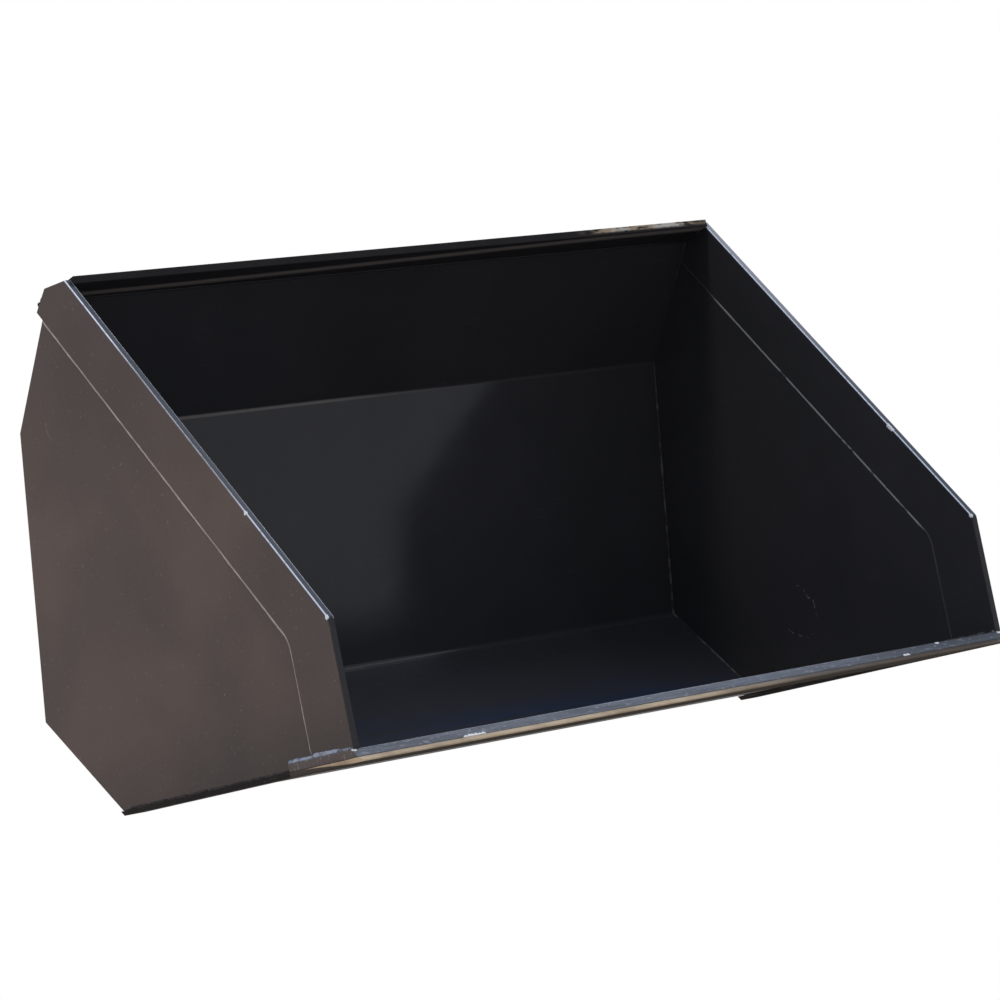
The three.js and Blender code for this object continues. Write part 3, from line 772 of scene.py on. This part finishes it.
RUNNER_GAPS = {True: 1 * MM, False: 58 * MM}  # between the stitches, on the outer edge and elsewhere
BRACE_LEG = 6 * MM
BRACE_CROWN_SHARE = 0.22
PLATE_LEG = 5 * MM
HOOK_LEG = 8 * MM
LEDGE_LEG = 7 * MM
SET_IN = 2 * MM  # how far a bead stops short of a corner
MARGIN = 3 * MM  # the same beside a rib or a gusset


def vertex_normals(run):
    """The outward normal at each point of a stretch of outline."""
    sides = [outward_normal(a, b) for a, b in zip(run, run[1:])]
    ends = [sides[0], *sides, sides[-1]]
    return [(a + b).normalized() for a, b in zip(ends, ends[1:])]


def at_x(run, x):
    return [Vector((x, p.y, p.z)) for p in run]


def fillet_beside(beads, run, x, side, leg, crown):
    """A fillet along a stretch of a plate's outline, on the plate's face at x, and on what it stands on."""
    legs = [(RIGHT * (side * leg), normal * -leg) for normal in vertex_normals(run)]
    beads.lay(at_x(run, x), legs, crown)


def fillet_both_sides(beads, part, other, leg):
    lo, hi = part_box(part)
    for run in seams(part, other):
        fillet_beside(beads, run, lo.x, -1, leg, leg * BRACE_CROWN_SHARE)
        fillet_beside(beads, run, hi.x, 1, leg, leg * BRACE_CROWN_SHARE)


def along_x(beads, start, stop, y, z, first, second, crown, out=None):
    path = [Vector((start, y, z)), Vector((stop, y, z))]
    beads.lay(path, [(first, second)] * 2, crown, out)


def stitches(start, stop, length, gap):
    """Even weld stitches between two ends."""
    count = max(1, round((stop - start + gap) / (length + gap)))
    pitch = (stop - start + gap) / count
    return [(start + i * pitch, start + (i + 1) * pitch - gap) for i in range(count)]


def wrapper_lines():
    """The wrapper's outer and inner lines: floor front to lip, and lip to floor front."""
    loop = cap_outline("wrapper")
    top = max(range(len(loop)), key=lambda i: loop[i].z)
    return loop[:top], loop[top:]


def weld_shell(material, side_name):
    """The seams between the wrapper and one side plate, inside and outside the bucket."""
    side = SIDES[side_name]
    beads = Beads("shell", side_name)
    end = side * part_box("wrapper")[1].x
    outer, inner = wrapper_lines()
    for run, leg in zip((inner, outer), SHELL_LEGS):
        legs = [(RIGHT * (-side * leg), normal * leg) for normal in vertex_normals(run)]
        beads.lay(at_x(run, end + side * HALF_GAP), legs, leg * CROWN_SHARE)
    beads.finish(material)


def outer_face(name, side):
    """The x of a part's face that is further from the middle."""
    return side * max(abs(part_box(name)[0].x), abs(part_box(name)[1].x))


def inner_face(name, side):
    return side * min(abs(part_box(name)[0].x), abs(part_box(name)[1].x))


def weld_strip_line(material, side_name):
    """The fillet behind the step from the side cutter down to the side plate."""
    side = SIDES[side_name]
    beads = Beads("strip_line", side_name)
    plate, cutter = "side_plate_" + side_name, "side_cutter_" + side_name
    run = max(seams(plate, cutter), key=len)
    step = outer_face(cutter, side) - outer_face(plate, side)
    legs = [(n * -STRIP_LEG, RIGHT * (step * STRIP_STEP_SHARE)) for n in vertex_normals(run)]
    beads.lay(at_x(run, outer_face(plate, side)), legs, STRIP_CROWN)
    beads.finish(material)


def weld_strip_inside(material, side_name):
    """The flush seam between the same two plates on the inside."""
    side = SIDES[side_name]
    beads = Beads("strip_inside", side_name)
    plate, cutter = "side_plate_" + side_name, "side_cutter_" + side_name
    run = max(seams(plate, cutter), key=len)
    flush = [(n * -FLUSH_LEG, n * FLUSH_LEG) for n in vertex_normals(run)]
    beads.lay(at_x(run, inner_face(cutter, side)), flush, FLUSH_CROWN, RIGHT * -side)
    beads.finish(material)


def weld_cutter_foot(material, side_name):
    """The heavy bead that stands on the base edge's ledge and climbs the cutter's face."""
    side = SIDES[side_name]
    beads = Beads("cutter_foot", side_name, FOOT_UNEVEN)
    plate, cutter = "side_plate_" + side_name, "side_cutter_" + side_name
    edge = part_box("base_edge")
    top = edge[1].z + HALF_GAP
    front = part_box(cutter)[0].y + SET_IN
    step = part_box(plate)[0].y
    rear = edge[1].y
    across = RIGHT * side
    ledge = abs(edge[1].x) - abs(outer_face(cutter, side))
    foot = [Vector((outer_face(cutter, side), y, top)) for y in (front, (front + step) / 2, step)]
    beads.lay(foot, [(across * ledge * FOOT_SHARE, UP * height) for height in FOOT_HEIGHTS], FOOT_CROWN)
    plate_face = outer_face(plate, side)
    deep = abs(edge[1].x) - abs(plate_face)
    corners = ((step, top), (rear, top), (rear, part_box("wrapper")[0].z))
    wrap = [Vector((plate_face, y, z)) for y, z in corners]
    turns = [(across * deep * share, way * leg)
             for share, way, leg in zip(WRAP_SHARES, (UP, UP + REAR, REAR), WRAP_LEGS)]
    beads.lay(wrap, turns, WRAP_CROWN)
    beads.finish(material)


def weld_cutter_inside(material, side_name):
    """The fillet between a cutter's inner face and the top of the base edge."""
    side = SIDES[side_name]
    beads = Beads("cutter_inside", side_name)
    cutter = "side_cutter_" + side_name
    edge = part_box("base_edge")
    ends = (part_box(cutter)[0].y + SET_IN, edge[1].y)
    line = [Vector((inner_face(cutter, side), y, edge[1].z + HALF_GAP)) for y in ends]
    legs = (RIGHT * (-side * INSIDE_LEG), UP * INSIDE_LEG)
    beads.lay(line, [legs] * 2, 1.0 * MM)
    beads.finish(material)


def between(blocks, start, stop, margin):
    """The free stretches of X between some blocks."""
    free = []
    for low, high in sorted(blocks):
        free.append((start, low - margin))
        start = high + margin
    free.append((start, stop))
    return [(a, b) for a, b in free if b - a > 4 * margin]


def x_ranges(*names):
    return [(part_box(name)[0].x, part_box(name)[1].x) for name in names]


def weld_front_edge(material):
    """The floor's front seams against the base edge, above and below."""
    beads = Beads("front_edge")
    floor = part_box("wrapper")
    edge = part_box("base_edge")
    seam_y = (floor[0].y + edge[1].y) / 2
    outer, inner = wrapper_lines()
    reach = floor[1].x - 4 * MM
    above, below = FRONT_LEGS
    along_x(beads, -reach, reach, seam_y, inner[-1].z, REAR * above, UP * above, above * CROWN_SHARE)
    for start, stop in between(x_ranges(*RUNNERS), -reach, reach, 4 * MM):
        along_x(beads, start, stop, seam_y, outer[0].z, REAR * below, UP * -below, below * CROWN_SHARE)
    beads.finish(material)


def weld_lip_bar(material):
    """The lip bar's long seams against the wrapper, and its short ones against the side cutters."""
    beads = Beads("lip_bar")
    outer, inner = wrapper_lines()
    loop = cap_outline("top_lip_bar")
    count = len(loop)
    longest = sorted(range(count), key=lambda i: -(loop[(i + 1) % count] - loop[i]).length)[:2]
    under = min(longest, key=lambda i: loop[i].z)
    over = max(longest, key=lambda i: loop[i].z)
    rearward = (loop[(under + 1) % count] - loop[under]).normalized()
    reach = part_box("wrapper")[1].x - 5 * MM
    for corner, down, toward in ((inner[0], inner[1], rearward * -1), (outer[-1], outer[-2], rearward)):
        legs = ((down - corner).normalized() * LIP_LEG, toward * LIP_LEG)
        blocks = x_ranges(*RIBS) if corner is outer[-1] else []
        for start, stop in between(blocks, -reach, reach, MARGIN):
            along_x(beads, start, stop, corner.y, corner.z, *legs, 0.8 * MM)
    for side in SIDES.values():
        for index, shares in ((under, LIP_UNDER), (over, LIP_OVER)):
            first, second = loop[index], loop[(index + 1) % count]
            run = [first.lerp(second, share) for share in shares]
            normal = outward_normal(first, second)
            legs = (RIGHT * (-side * LIP_LEG), normal * LIP_LEG)
            beads.lay(at_x(run, side * (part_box("top_lip_bar")[1].x + HALF_GAP)), [legs] * 2, 1.0 * MM)
    beads.finish(material)


def weld_runners(material):
    """Stitches along both edges of each runner, almost touching along the outer one."""
    beads = Beads("runners")
    plate_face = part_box("side_plate_right")[1].x
    for name in RUNNERS:
        lo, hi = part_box(name)
        top = hi.z + HALF_GAP
        for x, side in ((lo.x, -1), (hi.x, 1)):
            outermost = abs(x) > plate_face
            if outermost:
                x = side * plate_face
                legs = (RIGHT * (side * OUTER_RUNNER_LEGS[0]), UP * OUTER_RUNNER_LEGS[1])
            else:
                legs = (RIGHT * (side * RUNNER_LEG), UP * -RUNNER_LEG)
            start, stop = lo.y + RUNNER_SET_IN[0], hi.y - RUNNER_SET_IN[1]
            for ends in stitches(start, stop, RUNNER_STITCH, RUNNER_GAPS[outermost]):
                beads.lay([Vector((x, y, top)) for y in ends], [legs] * 2, 1.2 * MM)
    beads.finish(material)


def weld_mount(material):
    """The seams of the quick attach mount: above and below its plate, along its rails and down its ends."""
    beads = Beads("mount")
    plate = cap_outline("quick_attach_plate")
    lean = (max(plate, key=lambda p: p.z) - min(plate, key=lambda p: p.z)).normalized()
    out = Vector((0, lean.z, -lean.y))
    inner_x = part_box("quick_attach_plate")[1].x - SET_IN
    front = sorted(plate, key=lambda p: p.dot(out))[2:]
    for corner, sign in ((min(front, key=lambda p: p.z), -1), (max(front, key=lambda p: p.z), 1)):
        seam = corner + lean * sign * HALF_GAP
        along_x(beads, -inner_x, inner_x, seam.y, seam.z, lean * PLATE_LEG, lean * -PLATE_LEG, 1.2 * MM, out)
    upper = cap_outline("quick_attach_top_rail")
    crest = max(upper, key=lambda p: p.z)
    tip = max(upper, key=lambda p: p.y)
    for start, stop in between(x_ranges(*RIBS), -inner_x, inner_x, MARGIN):
        legs = (lean * HOOK_LEG, (tip - crest).normalized() * HOOK_LEG)
        along_x(beads, start, stop, crest.y, crest.z, *legs, HOOK_LEG * CROWN_SHARE)
    lower = cap_outline("quick_attach_bottom_rail")
    foot = min(lower, key=lambda p: p.z)
    for start, stop in between(x_ranges(*GUSSETS), -inner_x, inner_x, MARGIN):
        legs = (lean * -LEDGE_LEG, out * LEDGE_LEG)
        along_x(beads, start, stop, foot.y, foot.z, *legs, LEDGE_LEG * CROWN_SHARE)
    for side_name, side in SIDES.items():
        face = outer_face("quick_attach_end_" + side_name, side)
        legs = (RIGHT * (side * LEDGE_LEG), out * LEDGE_LEG)
        beads.lay(at_x([foot, crest], face), [legs] * 2, LEDGE_LEG * CROWN_SHARE)
    beads.finish(material)


def weld_braces(material, kind, names, others):
    """Fillets on both sides of each brace, wherever it stands on one of the other parts."""
    beads = Beads(kind)
    for name in names:
        for other in others:
            fillet_both_sides(beads, name, other, BRACE_LEG)
    beads.finish(material)


# ---- The CAD nodes: rounded arrises and smooth bends, by modifiers only ----
ARRIS_SEGMENTS = 3
FLAT_ANGLE = math.radians(0.5)
ARRIS_ANGLE = math.radians(32)


def rounding_group():
    """Joins the frame's split vertices and shades them smooth."""
    group = bpy.data.node_groups.new("joined_smooth", "GeometryNodeTree")
    for way in ("INPUT", "OUTPUT"):
        group.interface.new_socket("Geometry", in_out=way, socket_type="NodeSocketGeometry")
    start = group.nodes.new("NodeGroupInput")
    join = group.nodes.new("GeometryNodeMergeByDistance")
    join.inputs["Distance"].default_value = TOUCHING
    smooth = group.nodes.new("GeometryNodeSetShadeSmooth")
    end = group.nodes.new("NodeGroupOutput")
    group.links.new(start.outputs[0], join.inputs["Geometry"])
    group.links.new(join.outputs[0], smooth.inputs["Geometry"])
    group.links.new(smooth.outputs[0], end.inputs[0])
    return group


def dress(name, material, radius, group):
    part = nodes[name]
    part.data.materials.clear()
    part.data.materials.append(material)
    part.modifiers.new("joined_smooth", "NODES").node_group = group
    flat = part.modifiers.new("whole_faces", "DECIMATE")
    flat.decimate_type = "DISSOLVE"
    flat.angle_limit = FLAT_ANGLE
    arris = part.modifiers.new("arris", "BEVEL")
    arris.width = radius
    arris.segments = ARRIS_SEGMENTS
    arris.limit_method = "ANGLE"
    arris.angle_limit = ARRIS_ANGLE
    part.modifiers.new("flat_faces", "WEIGHTED_NORMAL").keep_sharp = True


# ---- Chips and rubs, placed along the parts' own edges ----
SLOPE_FOOT_Z = 0.2  # the foot of the side cutters' slope lies above this


def slope_chips(side_name, shares):
    """Points along the left-hand arris of a side cutter's sloped front edge, from the lip down."""
    name = "side_cutter_" + side_name
    run = cap_outline(name)
    high = max(run, key=lambda p: p.z - p.y)
    low = min((p for p in run if p.z > SLOPE_FOOT_Z), key=lambda p: p.y)
    return [Vector((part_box(name)[0].x, *high.lerp(low, share).yz)) for share in shares]


def slope_line():
    """A point on the side cutters' slope with its outward normal, and the x of their two faces."""
    run = cap_outline("side_cutter_right")
    sides = [(a, b) for a, b in zip(run, run[1:] + run[:1]) if b.z != a.z]
    first, second = max(sides, key=lambda ends: (ends[1] - ends[0]).length - (ends[0] + ends[1]).y)
    return (first, outward_normal(first, second)), [abs(edge.x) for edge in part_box("side_cutter_right")]


def edge_chips(name, upper, lower):
    """Points along the upper and lower arrises of a bar's bevel, as shares of its length from the left."""
    lo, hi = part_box(name)
    outline = cap_outline(name)
    crest = min((p for p in outline if p.z > hi.z - 1 * MM), key=lambda p: p.y)
    nose = max((p for p in outline if p.y < lo.y + 1 * MM), key=lambda p: p.z)
    placed = [(crest, share) for share in upper] + [(nose, share) for share in lower]
    return [Vector((lo.x + (hi.x - lo.x) * share, point.y, point.z)) for point, share in placed]


def dress_plates(group):
    """Gives every CAD node its enamel and its rounded arrises."""
    bends = wrapper_lines()[1]
    upper_bend = min(bends, key=lambda p: abs(p.z - UPPER_BEND_Z))
    lower_bend = min(bends, key=lambda p: abs(p.z - LOWER_BEND_Z))
    shell = enamel("gloss_black_enamel", 0.07, heel=min(bends, key=lambda p: p.z),
                   creases=((upper_bend, *UPPER_CREASE), (lower_bend, *LOWER_CREASE)))
    sides = enamel("side_enamel", 0.17, outside_tone=SIDE_TONES, slope=slope_line(),
                   chips=slope_chips("left", LEFT_CHIPS) + slope_chips("right", RIGHT_CHIPS),
                   scuffs=[Vector((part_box("side_plate_right")[0].x, *SCUFF_INSIDE)),
                           Vector((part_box("side_plate_left")[0].x, *SCUFF_OUTSIDE))])
    rear = enamel("satin_black_enamel", 0.30, outside_tone=SIDE_TONES, wear=0.4)
    skids = enamel("rubbed_black_enamel", 0.50, outside_tone=RUNNER_TONES, wear=0.2, sheen=0.14)
    lip = lip_bar_finish("banded_lip_bar", *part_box("top_lip_bar"))
    edge = bare_edge("base_edge_enamel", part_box("base_edge")[1],
                     edge_chips("base_edge", TOP_CHIPS, NOSE_CHIPS))
    steel = tan_nose_steel("worn_edge_steel", *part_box("cutting_edge"))
    plates = [("wrapper", shell, 0.8), ("base_edge", edge, 1.5), ("top_lip_bar", lip, 0.5),
              ("cutting_edge", steel, 1.2)]
    for side_name in SIDES:
        plates += [("side_plate_" + side_name, sides, 1.0), ("side_cutter_" + side_name, sides, 1.8),
                   ("quick_attach_end_" + side_name, rear, 1.2)]
    plates += [(name, skids, 1.0) for name in RUNNERS]
    plates += [(name, rear, 1.0) for name in (*RIBS, *GUSSETS, *MOUNT_PLATES)]
    for name, material, radius in plates:
        dress(name, material, radius * MM, group)


def add_welds():
    # painted highlights in broken lengths along the seams, up to set heights
    seam = weld_enamel("seam_enamel", SEAM_WELD, 0.30, 0.54, SHELL_BRIGHT, 0.3)
    bead = weld_enamel("weld_enamel", BLACK_WELD, 0.16)
    dull = weld_enamel("dull_weld", DULL_WELD, 0.45, sheen=0.15)
    strip_line = weld_enamel("pale_weld", PALE_WELD, 0.40)
    # painted highlights along the cutters' inner seams
    strip_inside = weld_enamel("highlit_inner_weld", HIGHLIT_INNER_WELD, 0.34, 0.42, SEAM_BRIGHT)
    # painted sky glints on the cutter foot
    foot = weld_enamel("blue_grey_weld", BLUE_GREY_WELD, 0.22)
    for side_name in SIDES:
        weld_shell(seam, side_name)
        weld_strip_line(strip_line, side_name)
        weld_strip_inside(strip_inside, side_name)
        weld_cutter_foot(foot, side_name)
        weld_cutter_inside(bead, side_name)
    weld_front_edge(bead)
    weld_lip_bar(seam)
    weld_runners(dull)
    weld_mount(bead)
    weld_braces(bead, "ribs", RIBS, ("wrapper", "top_lip_bar", "quick_attach_top_rail"))
    weld_braces(bead, "gussets", GUSSETS, ("wrapper", "quick_attach_bottom_rail"))


def build():
    add_camera()
    add_studio()
    dress_plates(rounding_group())
    add_welds()


build()
bpy.context.view_layer.update()
